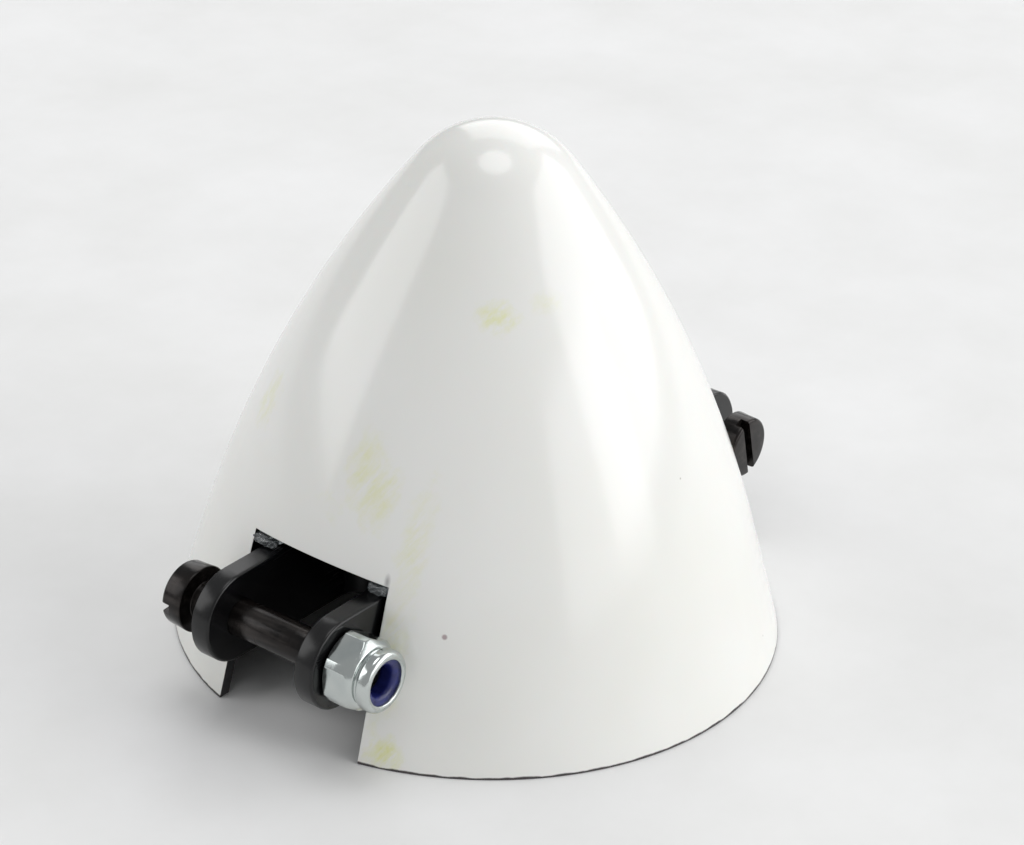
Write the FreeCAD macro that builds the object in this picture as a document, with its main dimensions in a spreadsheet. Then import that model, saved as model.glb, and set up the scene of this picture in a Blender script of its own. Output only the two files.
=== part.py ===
"""Folding-propeller spinner: a moulded shell bonded to a two-armed metal yoke.

Frame (millimetres): the origin is the centre of the open rear rim, +Z runs forward
to the nose, and +X runs along the yoke to its front fork.  The rear fork lies on -X
and is the front fork turned half a turn about Z.  Each fork takes a blade root on a
pivot screw that runs parallel to Y.
"""
import FreeCAD, Part
import Sketcher
import math
import os

V = FreeCAD.Vector

SIZES = [
    # name, value, meaning (lengths in mm, angles in degrees)
    ("base_radius", 25.0, "outside radius of the open rear rim"),
    ("nose_height", 43.3, "height of the nose above the rim"),
    ("rim_lean", 16.3, "lean of the straight flank, from vertical"),
    ("rim_straight", 8.9, "height of the straight flank"),
    ("nose_radius", 7.9, "radius of the round nose"),
    ("wall", 1.0, "thickness of the moulded wall"),
    ("window_gap", 0.9, "gap between an arm and its window's side"),
    ("window_headroom", 0.85, "gap between an arm and its window's top"),
    ("window_lean", 0.6, "how far the nut's side of a window leans in at its top"),
    ("pivot_height", 8.9, "pivot axis above the rim"),
    ("ear_radius", 3.75, "round end of each ear, half the arm's height"),
    ("ear_thickness", 1.9, "thickness of each ear"),
    ("ear_edge", 0.25, "chamfer round the ears"),
    ("blade_slot", 8.4, "width between the ears"),
    ("slot_root", 11.0, "inner end of the blade slot to the axis"),
    ("slot_corner", 1.5, "cutter radius in the slot's corners"),
    ("hub_radius", 9.0, "radius of the hub, half the shoulders' width"),
    ("hub_bottom", 1.5, "lower face of the hub above the rim"),
    ("hub_top", 14.5, "upper face of the hub above the rim"),
    ("hub_edge", 0.6, "chamfer round the hub"),
    ("bond_gap", 0.2, "bond line between the shoulders and the wall"),
    ("shaft_radius", 2.5, "bore for the motor shaft"),
    ("pin_radius", 1.5, "shank of the pivot screw"),
    ("pin_clearance", 0.05, "radial play of the shank in the ears"),
    ("screw_length", 16.0, "pivot screw under its head"),
    ("head_standoff", 2.0, "gap between the screw's head and its ear"),
    ("nut_standoff", 0.15, "gap between the lock nut and its ear"),
    ("head_radius", 2.75, "pivot screw head at its bearing face"),
    ("head_height", 2.0, "pivot screw head"),
    ("head_draft", 3.0, "taper of the head's side"),
    ("head_edge", 0.3, "chamfer on the head's rim"),
    ("driver_slot_width", 0.8, "slot in the head"),
    ("driver_slot_depth", 0.85, "depth of the slot in the head"),
    ("tip_chamfer", 0.35, "chamfer on a screw's tip"),
    ("nut_flats", 5.5, "lock nut across its flats"),
    ("nut_corner_radius", 3.0, "lock nut over its rounded corners"),
    ("nut_clearance", 0.07, "room for the turning nut beside the shell"),
    ("nut_face_radius", 2.6, "bearing face of the lock nut"),
    ("nut_corner_low", 0.2, "start of the full corners"),
    ("nut_corner_high", 2.0, "end of the full corners"),
    ("nut_hex_height", 2.65, "hexagon up to the collar"),
    ("nut_height", 4.0, "lock nut with its collar"),
    ("collar_radius", 2.52, "outside of the collar"),
    ("collar_edge", 0.35, "chamfer on the collar's rim"),
    ("collar_mouth", 1.85, "mouth of the collar over the ring"),
    ("ring_seat", 2.2, "floor of the ring's pocket above the bearing face"),
    ("ring_radius", 2.1, "outside of the nylon ring"),
    ("ring_bore", 1.35, "bore of the nylon ring"),
    ("ring_depth", 1.5, "thickness of the nylon ring"),
    ("thread_gap", 0.02, "gap between a screw and its thread"),
    ("grub_radius", 1.5, "grub screw"),
    ("grub_length", 6.0, "grub screw"),
    ("grub_setback", 0.2, "grub screw tip short of the shaft bore"),
    ("grub_point", 0.5, "chamfer on the cup point"),
    ("grub_cup", 0.75, "radius of the cup"),
    ("key_flats", 1.5, "hexagon socket across its flats"),
    ("key_depth", 2.0, "depth of the hexagon socket"),
    ("bead_inner", 4.5, "inner side of a resin bead to the fork's middle plane"),
    ("bead_reach", 0.75, "reach of a bead each way from the wall's middle"),
    ("bead_edge", 0.35, "rounding of a bead"),
]

FITS = [
    # name, expression, meaning: what follows from the sizes
    ("arm_low", "Size.pivot_height - Size.ear_radius", "underside of the arms"),
    ("arm_high", "Size.pivot_height + Size.ear_radius", "top of the arms"),
    ("arm_half", "Size.blade_slot / 2 + Size.ear_thickness", "half the arms' width"),
    ("window_half", "arm_half + Size.window_gap", "half a window's width at the rim"),
    ("window_top", "arm_high + Size.window_headroom", "top of the windows"),
    ("belly_step", "(Size.nose_height - Size.nose_radius / 2 - Size.rim_straight) / 4",
     "rise of each of the belly's first arcs"),
    ("lean_rate", "tan(Size.rim_lean * 1 deg)", "flank's run to its rise"),
    ("lean_cosine", "cos(Size.rim_lean * 1 deg)", "wall's square thickness to its level one"),
    ("side_rate", "Size.window_lean / window_top", "lean of a window's side, run to rise"),
    ("side_at_pivot", "window_half - side_rate * Size.pivot_height", "window's side there"),
    ("flank_at_pivot", "Size.base_radius - lean_rate * Size.pivot_height", "flank's radius there"),
    ("skin_at_pivot", "sqrt(flank_at_pivot ^ 2 - side_at_pivot ^ 2)", "skin beside the window"),
    ("pivot_reach", "skin_at_pivot + (Size.nut_corner_radius + Size.nut_clearance) / lean_cosine",
     "pivot axis to the spinner's axis, so that the turning nut just clears the skin"),
    ("pin_hole", "Size.pin_radius + Size.pin_clearance", "bore in the ears"),
    ("nut_thread", "Size.pin_radius + Size.thread_gap", "bore of the nut"),
    ("grub_hole", "Size.grub_radius + Size.thread_gap", "threaded hole in the hub"),
    ("ring_pocket", "Size.ring_radius + Size.thread_gap", "pocket for the nylon ring"),
    ("clear_of_all", "2 * Size.base_radius", "length that passes everything"),
]

doc = FreeCAD.newDocument("spinner")
sheet = doc.addObject("Spreadsheet::Sheet", "Size")
for row, (name, value, meaning) in enumerate(SIZES, start=1):
    sheet.set(f"A{row}", str(value))
    sheet.setAlias(f"A{row}", name)
    sheet.set(f"B{row}", meaning)
doc.recompute()
fit = doc.addObject("App::VarSet", "Fit")
for name, expression, meaning in FITS:
    fit.addProperty("App::PropertyFloat", name, "Fits", meaning)
    fit.setExpression(name, expression)
doc.recompute()


# ---- sketch helpers --------------------------------------------------------------

def new_body(label):
    """An empty body whose label names its file and node."""
    body = doc.addObject("PartDesign::Body", label)
    body.Label = label
    return body


def new_sketch(body, plane, lift=None):
    """A sketch on one of the body's own origin planes, lifted along its normal."""
    sketch = body.newObject("Sketcher::SketchObject", f"{body.Label}_sketch")
    support = [item for item in body.Origin.OriginFeatures if item.Role == plane][0]
    sketch.AttachmentSupport = [(support, "")]
    sketch.MapMode = "FlatFace"
    if lift:
        sketch.setExpression("AttachmentOffset.Base.z", lift)
    return sketch


def drive(sketch, constraint, expression):
    """Add a constraint whose value follows an expression on the sheet."""
    index = sketch.addConstraint(constraint)
    sketch.setExpression(f"Constraints[{index}]", expression)


def place(sketch, line, end, across, up):
    """Hold one end of a line, or a circle's centre (end 3), at a point of the sketch."""
    for kind, axis, value in (("DistanceX", -2, across), ("DistanceY", -1, up)):
        if value == "0":
            sketch.addConstraint(Sketcher.Constraint("PointOnObject", line, end, axis))
        else:
            drive(sketch, Sketcher.Constraint(kind, -1, 1, line, end, 1.0), value)


def polygon(sketch, corners):
    """A closed outline of straight lines with each corner held by two expressions."""
    count = len(corners)
    first = sketch.GeometryCount
    turn = [2 * math.pi * i / count for i in range(count)]
    start = [V(20 + 5 * math.cos(a), 20 + 5 * math.sin(a), 0) for a in turn]
    for i in range(count):
        sketch.addGeometry(Part.LineSegment(start[i], start[(i + 1) % count]))
    for i in range(count):
        following = first + (i + 1) % count
        sketch.addConstraint(Sketcher.Constraint("Coincident", first + i, 2, following, 1))
    for i, (across, up) in enumerate(corners):
        place(sketch, first + i, 1, across, up)


def box_outline(sketch, left, right, low, high):
    """A rectangle between two limits across and two limits up."""
    polygon(sketch, [(left, low), (right, low), (right, high), (left, high)])


def circle(sketch, radius, across="0", up="0"):
    """A full circle with its centre and radius on the sheet."""
    ring = sketch.addGeometry(Part.Circle(V(3, 3, 0), V(0, 0, 1), 1.0))
    drive(sketch, Sketcher.Constraint("Radius", ring, 1.0), radius)
    place(sketch, ring, 3, across, up)


def hexagon(sketch, flats):
    """A hexagon about the origin, one pair of flats facing along the first axis."""
    half = f"({flats} / 2)"
    corner = f"({flats} / 2 / cos(30 deg))"
    step = f"({flats} / 4 / cos(30 deg))"
    polygon(sketch, [(half, step), ("0", corner), (f"-{half}", step),
                     (f"-{half}", f"-{step}"), ("0", f"-{corner}"), (half, f"-{step}")])


# ---- feature helpers -------------------------------------------------------------

def prism(body, sketch, length, both_ways=False, reverse=False):
    """Material pushed out of a sketch, from its plane or both ways from it."""
    pad = body.newObject("PartDesign::Pad", f"{body.Label}_pad")
    pad.Profile = sketch
    pad.SideType = "Symmetric" if both_ways else "One side"
    pad.Reversed = reverse
    pad.setExpression("Length", length)
    return pad


def turned(body, sketch, kind="Revolution"):
    """A full turn of a sketch about its upright axis, as material or as a cut."""
    turn = body.newObject(f"PartDesign::{kind}", f"{body.Label}_{kind.lower()}")
    turn.Profile = sketch
    turn.ReferenceAxis = (sketch, ["V_Axis"])
    turn.Angle = 360
    return turn


def cut(body, sketch, length, both_ways=True, reverse=False):
    """A pocket; it must take material away from what stands before it."""
    before = volume_of(body)
    pocket = body.newObject("PartDesign::Pocket", f"{body.Label}_pocket")
    pocket.Profile = sketch
    pocket.SideType = "Symmetric" if both_ways else "One side"
    pocket.Reversed = reverse
    pocket.setExpression("Length", length)
    if volume_of(body) > before - 1e-6:
        raise RuntimeError(f"{pocket.Name} cuts nothing")
    return pocket


def volume_of(body):
    """The body's volume after a recompute."""
    doc.recompute()
    return body.Shape.Volume


def edges_where(shape, test):
    """Names of the edges whose middle point and length pass a test."""
    names = []
    for number, edge in enumerate(shape.Edges, start=1):
        middle = edge.valueAt((edge.FirstParameter + edge.LastParameter) / 2)
        if test(middle, edge):
            names.append(f"Edge{number}")
    return names


def dress(body, kind, size, test):
    """A fillet or chamfer on the edges of the body's tip that pass a test."""
    doc.recompute()
    base = body.Tip
    names = edges_where(base.Shape, test)
    if not names:
        raise RuntimeError(f"no edge to dress on {body.Label}")
    feature = body.newObject(f"PartDesign::{kind}", f"{body.Label}_{kind.lower()}")
    feature.Base = (base, names)
    feature.setExpression("Radius" if kind == "Fillet" else "Size", size)
    return feature


def size(name):
    """The present value of a size on the sheet."""
    return float(sheet.get(name))


# ---- shell -----------------------------------------------------------------------

BELLY_ARCS = 4


def flank_and_nose(sketch, guess_inset):
    """Half outline from the rim to the nose: a straight flank, a belly tangent to it,
    and a round nose tangent to the belly with its centre on the axis.  The belly is one
    circle, drawn as equal arcs so that its faces stay light.  Returns the numbers of
    the line, the belly's arcs and the nose's arc."""
    lean = math.radians(size("rim_lean"))
    rise = size("rim_straight")
    foot = size("base_radius") - guess_inset
    shoulder = foot - rise * math.tan(lean)
    nose = size("nose_radius") - guess_inset
    centre_z = size("nose_height") - size("nose_radius")
    drop = rise - centre_z
    reach = shoulder * math.cos(lean) + drop * math.sin(lean) - nose
    belly = (shoulder ** 2 + drop ** 2 - nose ** 2) / (2 * reach)
    belly_centre = V(shoulder - belly * math.cos(lean), rise - belly * math.sin(lean), 0)
    meet = math.atan2(centre_z - belly_centre.y, -belly_centre.x)
    line = sketch.addGeometry(Part.LineSegment(V(foot, 0, 0), V(shoulder, rise, 0)))
    axis = V(0, 0, 1)
    belly_circle = Part.Circle(belly_centre, axis, belly)
    arcs = []
    for part in range(BELLY_ARCS):
        start, end = [lean + (meet - lean) * step / BELLY_ARCS for step in (part, part + 1)]
        arcs.append(sketch.addGeometry(Part.ArcOfCircle(belly_circle, start, end)))
    nose_circle = Part.Circle(V(0, centre_z, 0), axis, nose)
    nose_arc = sketch.addGeometry(Part.ArcOfCircle(nose_circle, meet, math.pi / 2))
    for before, after in zip([line] + arcs, arcs + [nose_arc]):
        sketch.addConstraint(Sketcher.Constraint("Tangent", before, 2, after, 1))
    for step in range(1, BELLY_ARCS):
        sketch.addConstraint(Sketcher.Constraint("Equal", arcs[step - 1], arcs[step]))
        drive(sketch, Sketcher.Constraint("DistanceY", -1, 1, arcs[step], 1, 20.0),
              f"Size.rim_straight + {step} * Fit.belly_step")
    sketch.addConstraint(Sketcher.Constraint("PointOnObject", line, 1, -1))
    sketch.addConstraint(Sketcher.Constraint("PointOnObject", nose_arc, 2, -2))
    return line, arcs, nose_arc


def build_shell():
    """A turned wall, open at the rim, with two blade windows cut through its flanks.
    The inner outline shares the outer one's centres, so the wall is even."""
    body = new_body("spinner_shell")
    sketch = new_sketch(body, "XZ_Plane")
    line, belly, nose_arc = flank_and_nose(sketch, 0.0)
    sketch.addConstraint(Sketcher.Constraint("PointOnObject", nose_arc, 3, -2))
    drive(sketch, Sketcher.Constraint("DistanceX", -1, 1, line, 1, 25.0), "Size.base_radius")
    drive(sketch, Sketcher.Constraint("Angle", -1, 1, line, 1, 1.8), "90 deg + Size.rim_lean * 1 deg")
    drive(sketch, Sketcher.Constraint("DistanceY", -1, 1, line, 2, 9.0), "Size.rim_straight")
    drive(sketch, Sketcher.Constraint("Radius", nose_arc, 8.0), "Size.nose_radius")
    drive(sketch, Sketcher.Constraint("DistanceY", -1, 1, nose_arc, 2, 43.0), "Size.nose_height")
    inner = flank_and_nose(sketch, size("wall"))
    in_line, in_belly, in_nose_arc = inner
    sketch.addConstraint(Sketcher.Constraint("Parallel", line, in_line))
    drive(sketch, Sketcher.Constraint("DistanceX", in_line, 1, line, 1, 1.0),
          "Size.wall / Fit.lean_cosine")
    sketch.addConstraint(Sketcher.Constraint("Coincident", belly[0], 3, in_belly[0], 3))
    sketch.addConstraint(Sketcher.Constraint("Coincident", nose_arc, 3, in_nose_arc, 3))
    tip = sketch.addGeometry(Part.LineSegment(V(0, size("nose_height"), 0),
                                              V(0, size("nose_height") - size("wall"), 0)))
    sketch.addConstraint(Sketcher.Constraint("Coincident", tip, 1, nose_arc, 2))
    sketch.addConstraint(Sketcher.Constraint("Coincident", tip, 2, in_nose_arc, 2))
    rim = sketch.addGeometry(Part.LineSegment(V(size("base_radius") - size("wall"), 0, 0),
                                              V(size("base_radius"), 0, 0)))
    sketch.addConstraint(Sketcher.Constraint("Coincident", rim, 1, in_line, 1))
    sketch.addConstraint(Sketcher.Constraint("Coincident", rim, 2, line, 1))
    turned(body, sketch)
    for side in (1, -1):
        window = new_sketch(body, "YZ_Plane")
        polygon(window, [(f"{-side} * Fit.window_half", "0"), (f"{side} * Fit.window_half", "0"),
                         (window_side(side, "Fit.window_top"), "Fit.window_top"),
                         (f"{-side} * Fit.window_half", "Fit.window_top")])
        cut(body, window, "Fit.clear_of_all", both_ways=False, reverse=side > 0)
    return body


def window_side(side, height):
    """Where the nut's side of a window stands at a height; it leans in as it rises."""
    return f"{side} * (Fit.window_half - Fit.side_rate * {height})"


# ---- yoke ------------------------------------------------------------------------

def wall_inside(height):
    """Radius of the bond line's inner side where the straight flank, carried on,
    passes a height."""
    skin = "(Size.wall + Size.bond_gap) / Fit.lean_cosine"
    return f"(Size.base_radius - {height} * Fit.lean_rate - {skin})"


def build_yoke():
    """A hub with two forks, milled from a turned blank.  The shoulders keep the
    blank's cone and carry the shell; the arms go on through the windows."""
    body = new_body("yoke")
    shoulders = new_sketch(body, "XY_Plane", "Fit.arm_low")
    box_outline(shoulders, "-Size.base_radius", "Size.base_radius",
                "-Size.hub_radius", "Size.hub_radius")
    prism(body, shoulders, "2 * Size.ear_radius")
    cone = new_sketch(body, "XZ_Plane")
    low = "(Fit.arm_low - 1)"
    high = "(Fit.arm_high + 1)"
    polygon(cone, [(wall_inside(low), low), ("Fit.clear_of_all", low),
                   ("Fit.clear_of_all", high), (wall_inside(high), high)])
    turned(body, cone, "Groove")
    hub = new_sketch(body, "XY_Plane", "Size.hub_bottom")
    circle(hub, "Size.hub_radius")
    prism(body, hub, "Size.hub_top - Size.hub_bottom")
    dress(body, "Chamfer", "Size.hub_edge", is_hub_rim)
    arms = new_sketch(body, "XZ_Plane")
    arm_outline(arms)
    prism(body, arms, "2 * Fit.arm_half", both_ways=True)
    slots = new_sketch(body, "XY_Plane")
    half = "(Size.blade_slot / 2)"
    box_outline(slots, "Size.slot_root", "Fit.clear_of_all", f"-{half}", half)
    box_outline(slots, "-Fit.clear_of_all", "-Size.slot_root", f"-{half}", half)
    cut(body, slots, "2 * Fit.clear_of_all")
    dress(body, "Fillet", "Size.slot_corner", is_slot_corner)
    pivots = new_sketch(body, "XZ_Plane")
    circle(pivots, "Fit.pin_hole", "Fit.pivot_reach", "Size.pivot_height")
    circle(pivots, "Fit.pin_hole", "-Fit.pivot_reach", "Size.pivot_height")
    cut(body, pivots, "4 * Fit.arm_half")
    shaft = new_sketch(body, "XY_Plane")
    circle(shaft, "Size.shaft_radius")
    cut(body, shaft, "2 * Fit.clear_of_all")
    grubs = new_sketch(body, "YZ_Plane")
    circle(grubs, "Fit.grub_hole", "0", "Size.pivot_height")
    cut(body, grubs, "2 * Size.slot_root + 2 * Size.wall")
    dress(body, "Chamfer", "Size.ear_edge", is_ear_edge)
    return body


def arm_outline(sketch):
    """Side view of both arms: two level edges joined by round ends about the pivots."""
    reach = fit.pivot_reach
    middle = size("pivot_height")
    radius = size("ear_radius")
    top = sketch.addGeometry(Part.LineSegment(V(reach, middle + radius, 0),
                                              V(-reach, middle + radius, 0)))
    low = sketch.addGeometry(Part.LineSegment(V(-reach, middle - radius, 0),
                                              V(reach, middle - radius, 0)))
    ends = []
    for side, start in ((1, -math.pi / 2), (-1, math.pi / 2)):
        end_circle = Part.Circle(V(side * reach, middle, 0), V(0, 0, 1), radius)
        ends.append(sketch.addGeometry(Part.ArcOfCircle(end_circle, start, start + math.pi)))
    front, rear = ends
    sketch.addConstraint(Sketcher.Constraint("Tangent", low, 2, front, 1))
    sketch.addConstraint(Sketcher.Constraint("Tangent", front, 2, top, 1))
    sketch.addConstraint(Sketcher.Constraint("Tangent", top, 2, rear, 1))
    sketch.addConstraint(Sketcher.Constraint("Tangent", rear, 2, low, 1))
    sketch.addConstraint(Sketcher.Constraint("Horizontal", top))
    sketch.addConstraint(Sketcher.Constraint("Equal", front, rear))
    drive(sketch, Sketcher.Constraint("Radius", front, radius), "Size.ear_radius")
    place(sketch, front, 3, "Fit.pivot_reach", "Size.pivot_height")
    drive(sketch, Sketcher.Constraint("DistanceX", -1, 1, rear, 3, -reach), "-Fit.pivot_reach")


def is_hub_rim(middle, edge):
    """Full or part circles at the hub's two ends."""
    level = min(abs(middle.z - size("hub_bottom")), abs(middle.z - size("hub_top")))
    return level < 1e-4 and abs(math.hypot(middle.x, middle.y) - size("hub_radius")) < 1e-4


def is_slot_corner(middle, edge):
    """Upright edges where a slot's sides meet its root."""
    at_root = abs(abs(middle.x) - size("slot_root")) < 1e-4
    at_side = abs(abs(middle.y) - size("blade_slot") / 2) < 1e-4
    return at_root and at_side


def is_ear_edge(middle, edge):
    """Outline edges of the ears, outboard of the shoulders."""
    inner = size("blade_slot") / 2
    on_face = min(abs(abs(middle.y) - inner), abs(abs(middle.y) - fit.arm_half)) < 1e-4
    from_pivot = math.hypot(abs(middle.x) - fit.pivot_reach, middle.z - size("pivot_height"))
    return on_face and abs(middle.x) > fit.pivot_reach and from_pivot > size("ear_radius") - 1e-3


# ---- screws, nuts and rings ------------------------------------------------------

def build_pivot_screw(label):
    """Cheese-head screw about its own Z axis, with its bearing face at zero."""
    body = new_body(label)
    profile = new_sketch(body, "XZ_Plane")
    rim = "(Size.head_radius - Size.head_height * tan(Size.head_draft * 1 deg))"
    polygon(profile, [("0", "-Size.head_height"), (rim, "-Size.head_height"),
                      ("Size.head_radius", "0"), ("Size.pin_radius", "0"),
                      ("Size.pin_radius", "Size.screw_length - Size.tip_chamfer"),
                      ("Size.pin_radius - Size.tip_chamfer", "Size.screw_length"),
                      ("0", "Size.screw_length")])
    turned(body, profile)
    top = -size("head_height")
    dress(body, "Chamfer", "Size.head_edge", lambda middle, edge: abs(middle.z - top) < 1e-4)
    slot = new_sketch(body, "XY_Plane", "-Size.head_height")
    half = "(Size.driver_slot_width / 2)"
    box_outline(slot, "-2 * Size.head_radius", "2 * Size.head_radius", f"-{half}", half)
    cut(body, slot, "2 * Size.driver_slot_depth")
    return body


def build_lock_nut(label):
    """Hexagon with trimmed corners and a rolled collar, about its own Z axis, with its
    bearing face at zero.  The collar's pocket holds the nylon ring."""
    body = new_body(label)
    hexes = new_sketch(body, "XY_Plane")
    hexagon(hexes, "Size.nut_flats")
    prism(body, hexes, "Size.nut_hex_height")
    trim = new_sketch(body, "XZ_Plane")
    polygon(trim, [("Size.nut_face_radius", "0"),
                   ("Size.nut_corner_radius", "Size.nut_corner_low"),
                   ("Size.nut_corner_radius", "Size.nut_corner_high"),
                   ("Size.collar_radius", "Size.nut_hex_height"),
                   ("2 * Size.nut_flats", "Size.nut_hex_height"), ("2 * Size.nut_flats", "0")])
    turned(body, trim, "Groove")
    collar = new_sketch(body, "XY_Plane")
    circle(collar, "Size.collar_radius")
    prism(body, collar, "Size.nut_height")
    top = size("nut_height")
    dress(body, "Chamfer", "Size.collar_edge", lambda middle, edge: abs(middle.z - top) < 1e-4)
    bore = new_sketch(body, "XZ_Plane")
    pocket_top = "(Size.ring_seat + Size.ring_depth)"
    polygon(bore, [("0", "-Size.thread_gap"), ("Fit.nut_thread", "-Size.thread_gap"),
                   ("Fit.nut_thread", "Size.ring_seat"), ("Fit.ring_pocket", "Size.ring_seat"),
                   ("Fit.ring_pocket", pocket_top), ("Size.collar_mouth", pocket_top),
                   ("Size.collar_mouth", "2 * Size.nut_height"), ("0", "2 * Size.nut_height")])
    turned(body, bore, "Groove")
    return body


def build_nylon_ring(label):
    """Locking ring about its own Z axis, its lower face at the pocket's floor."""
    body = new_body(label)
    profile = new_sketch(body, "XZ_Plane")
    box_outline(profile, "Size.ring_bore", "Size.ring_radius",
                "Size.ring_seat", "Size.ring_seat + Size.ring_depth")
    turned(body, profile)
    return body


def build_grub_screw(label):
    """Socket set screw about its own Z axis, its cup point at zero."""
    body = new_body(label)
    profile = new_sketch(body, "XZ_Plane")
    point = "(Size.grub_radius - Size.grub_point)"
    polygon(profile, [("0", "Size.grub_cup / 2"), ("Size.grub_cup", "0"), (point, "0"),
                      ("Size.grub_radius", "Size.grub_point"),
                      ("Size.grub_radius", "Size.grub_length"), ("0", "Size.grub_length")])
    turned(body, profile)
    socket = new_sketch(body, "XY_Plane", "Size.grub_length")
    hexagon(socket, "Size.key_flats")
    cut(body, socket, "2 * Size.key_depth")
    return body


# ---- resin beads -----------------------------------------------------------------

def build_bead(label, side, hand):
    """Lump of resin that fills a window's upper corner over one ear.  It straddles the
    middle of the wall, which is followed there as a cone."""
    body = new_body(label)
    wall_middle = "(Size.base_radius - Fit.window_top * Fit.lean_rate - Size.wall / 2)"
    across = "((Size.bead_inner + Fit.window_half) / 2)"
    out = f"sqrt({wall_middle} ^ 2 - {across} ^ 2)"
    profile = new_sketch(body, "YZ_Plane", f"{side} * {out}")
    outer = [f"{hand} * Fit.window_half"] * 2
    if hand == side:
        outer = [window_side(side, height) for height in ("Fit.arm_high", "Fit.window_top")]
    inner = f"{hand} * Size.bead_inner"
    polygon(profile, [(inner, "Fit.arm_high"), (outer[0], "Fit.arm_high"),
                      (outer[1], "Fit.window_top"), (inner, "Fit.window_top")])
    prism(body, profile, "2 * Size.bead_reach", both_ways=True)
    dress(body, "Fillet", "Size.bead_edge", lambda middle, edge: is_bead_edge(middle, hand))
    return body


def is_bead_edge(middle, hand):
    """The upright edges on the fork's inner side, which the resin rounds off."""
    between = fit.arm_high + 1e-3 < middle.z < fit.window_top - 1e-3
    return between and abs(hand * middle.y - size("bead_inner")) < 1e-4


# ---- placing and writing ---------------------------------------------------------

def along_y(body, side, turn):
    """Lay a turned piece along Y at one fork, its own Z running to the nut's side,
    after a turn about its own axis."""
    lay = FreeCAD.Rotation(V(1, 0, 0), -90)
    spin = FreeCAD.Rotation(V(0, 0, 1), turn)
    half_turn = FreeCAD.Rotation(V(0, 0, 1), 0 if side > 0 else 180)
    body.Placement.Rotation = half_turn * lay * spin
    body.setExpression("Placement.Base.x", f"{side} * Fit.pivot_reach")
    body.setExpression("Placement.Base.z", "Size.pivot_height")


def build_pivot(end, side, slot_turn):
    """Screw, lock nut and nylon ring of one fork."""
    screw = build_pivot_screw(f"pivot_screw_{end}")
    along_y(screw, side, slot_turn)
    screw.setExpression("Placement.Base.y", f"{-side} * (Fit.arm_half + Size.head_standoff)")
    nut = build_lock_nut(f"lock_nut_{end}")
    ring = build_nylon_ring(f"nylon_ring_{end}")
    for piece in (nut, ring):
        along_y(piece, side, 0)
        piece.setExpression("Placement.Base.y", f"{side} * (Fit.arm_half + Size.nut_standoff)")
    return [screw, nut, ring]


def build_grub(end, side):
    """Set screw of one side, pointing at the shaft bore."""
    grub = build_grub_screw(f"grub_screw_{end}")
    grub.Placement.Rotation = FreeCAD.Rotation(V(0, 1, 0), 90 * side)
    grub.setExpression("Placement.Base.x", f"{side} * (Size.shaft_radius + Size.grub_setback)")
    grub.setExpression("Placement.Base.z", "Size.pivot_height")
    return grub


def build_beads():
    """One bead over each of the four ears."""
    beads = []
    for end, side in (("front", 1), ("rear", -1)):
        for ear, hand in (("nut", side), ("head", -side)):
            beads.append(build_bead(f"resin_bead_{end}_{ear}", side, hand))
    return beads


def write_steps(pieces):
    """Check every object and shape, then write one file for each piece."""
    doc.recompute()
    for item in doc.Objects:
        if "Invalid" in item.State or "Error" in item.State:
            raise RuntimeError(f"{item.Name} failed: {item.State}")
        if item.TypeId == "Sketcher::SketchObject" and not item.FullyConstrained:
            raise RuntimeError(f"{item.Name} isn't fully constrained")
    for piece in pieces:
        shape = piece.Shape
        if shape.isNull() or not shape.isValid() or len(shape.Solids) != 1:
            raise RuntimeError(f"{piece.Label} isn't one good solid")
    os.makedirs("parts", exist_ok=True)
    for piece in pieces:
        piece.Shape.exportStep(f"parts/{piece.Label}.step")
        box = piece.Shape.BoundBox
        print(piece.Label, round(piece.Shape.Volume, 2), "mm3",
              [round(v, 2) for v in (box.XMin, box.XMax, box.YMin, box.YMax, box.ZMin, box.ZMax)])


FRONT_SLOT_TURN = 5
REAR_SLOT_TURN = 105

pieces = [build_shell(), build_yoke()]
pieces += build_pivot("front", 1, FRONT_SLOT_TURN)
pieces += build_pivot("rear", -1, REAR_SLOT_TURN)
pieces += [build_grub("front", 1), build_grub("rear", -1)]
pieces += build_beads()
write_steps(pieces)
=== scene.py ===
# %% [markdown]
# # A spinner for a folding propeller
#
# A spinner is the pointed cap on a model aircraft's propeller.  This one is a moulded
# shell, white outside and black laminate inside, bonded to a milled yoke whose two forks
# each carry a blade on a pivot screw.  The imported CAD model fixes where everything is.
# The cells below build each piece's fine surface over it, and then its finish.

# %% Load the frame
import math
import bmesh
import bpy
import numpy as np
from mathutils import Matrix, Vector


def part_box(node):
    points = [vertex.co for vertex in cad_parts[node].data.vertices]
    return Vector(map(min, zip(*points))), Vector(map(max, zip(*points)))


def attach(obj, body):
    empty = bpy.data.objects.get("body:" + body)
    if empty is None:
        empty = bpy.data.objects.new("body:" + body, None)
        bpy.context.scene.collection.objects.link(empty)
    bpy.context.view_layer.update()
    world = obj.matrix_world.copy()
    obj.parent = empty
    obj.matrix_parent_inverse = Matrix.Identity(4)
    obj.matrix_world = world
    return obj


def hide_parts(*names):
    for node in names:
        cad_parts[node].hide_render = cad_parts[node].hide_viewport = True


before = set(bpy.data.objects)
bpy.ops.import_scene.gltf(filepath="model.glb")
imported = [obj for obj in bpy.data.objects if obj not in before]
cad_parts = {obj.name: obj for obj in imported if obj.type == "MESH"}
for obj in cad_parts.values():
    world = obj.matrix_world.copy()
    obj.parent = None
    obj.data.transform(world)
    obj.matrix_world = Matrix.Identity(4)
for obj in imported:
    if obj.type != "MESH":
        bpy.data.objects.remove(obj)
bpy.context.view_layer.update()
MM = 0.001

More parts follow.
